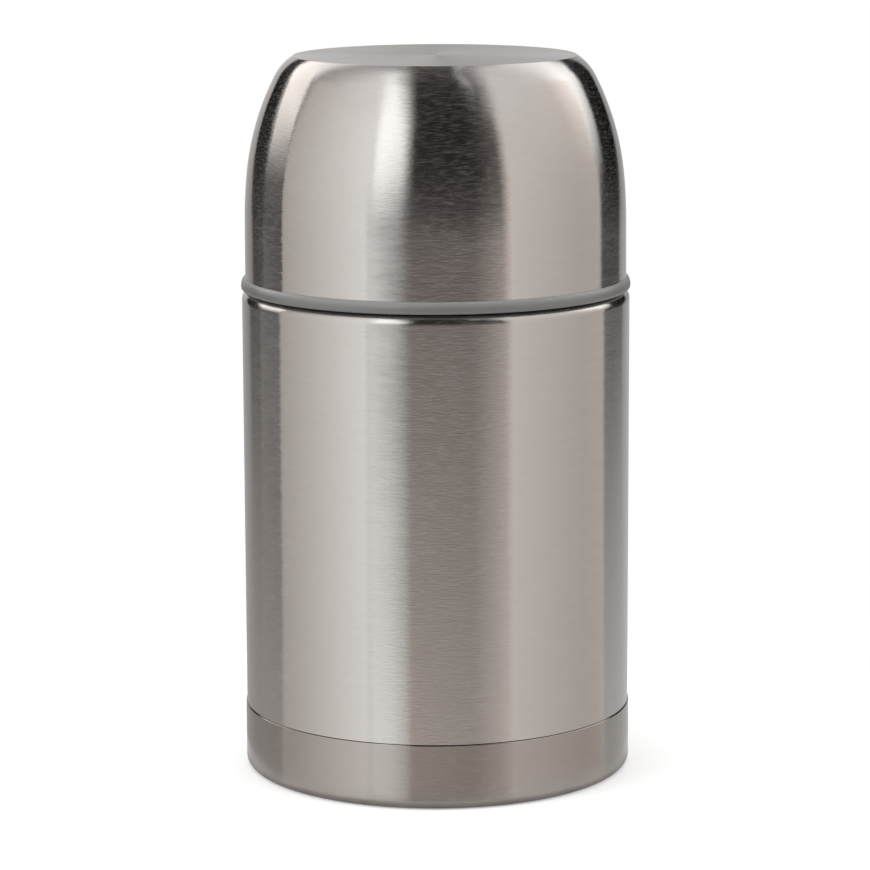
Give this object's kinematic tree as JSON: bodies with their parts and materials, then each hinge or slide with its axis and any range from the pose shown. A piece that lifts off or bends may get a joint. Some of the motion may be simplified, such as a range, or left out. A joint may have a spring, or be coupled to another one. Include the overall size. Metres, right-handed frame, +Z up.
{
  "type": "insulated food jar",
  "caption": "Double-walled steel vacuum food jar with a screw-on bullet-shaped cup, a screw stopper with a vent button, and a pressed-on base cap.",
  "frame": {"origin": "middle of the foot, on the surface the jar stands on", "axes": "+Z up along the jar's axis of symmetry; X and Y are any two directions across it"},
  "size_m": [0.1006, 0.1006, 0.1853],
  "materials": {
    "body_steel": "satin, brushed round the axis",
    "liner_steel": "satin",
    "seal_glass": "gloss",
    "foil": "bright",
    "getter_alloy": "matt",
    "grey_plastic": "matt, fine moulded grain",
    "grey_ring": "satin",
    "stopper_plastic": "matt, fine moulded grain",
    "foam": "matt",
    "silicone": "satin",
    "button_plastic": "satin",
    "spring_steel": "bright"
  },
  "bodies": {
    "jar": {"outer_shell": "body_steel", "inner_liner": "liner_steel", "vacuum_bottom": "liner_steel", "vacuum_seal": "seal_glass", "radiation_foil": "foil", "getter_pan": "liner_steel", "getter": "getter_alloy", "base_cap": "body_steel"},
    "cup_ring": {"cup_rim_ring": "grey_ring"},
    "cup": {"cup_shell": "body_steel", "cup_liner": "grey_plastic"},
    "stopper_ring": {"stopper_seal": "silicone"},
    "stopper": {"stopper_body": "grey_plastic", "stopper_insulation": "foam", "stopper_cap": "stopper_plastic", "valve_guide": "grey_plastic", "valve_spring": "spring_steel"},
    "valve": {"valve_button": "button_plastic", "valve_stem": "spring_steel", "valve_seal": "silicone", "valve_washer": "spring_steel"}
  },
  "joints": [
    {"name": "cup_lift", "type": "slide", "parent": "jar", "child": "cup_ring", "axis": [0, 0, 1], "range_m": [0, 0.048]},
    {"name": "cup_turn", "type": "hinge", "parent": "cup_ring", "child": "cup", "pos_m": [0, 0, 0.1286], "axis": [0, 0, 1], "range_deg": [0, 1080]},
    {"name": "stopper_lift", "type": "slide", "parent": "jar", "child": "stopper_ring", "axis": [0, 0, 1], "range_m": [0, 0.028]},
    {"name": "stopper_turn", "type": "hinge", "parent": "stopper_ring", "child": "stopper", "pos_m": [0, 0, 0.121], "axis": [0, 0, 1], "range_deg": [0, 720]},
    {"name": "button_press", "type": "slide", "parent": "stopper", "child": "valve", "axis": [0, 0, -1], "range_m": [0, 0.0025], "stiffness_N_per_m": 400, "springref_m": -0.003, "deforming": ["valve_spring"]}
  ],
  "couplings": [
    {"joint": "cup_lift", "follows": "cup_turn", "m_per_rad": 0.0025465},
    {"joint": "stopper_lift", "follows": "stopper_turn", "m_per_rad": 0.0022282}
  ]
}
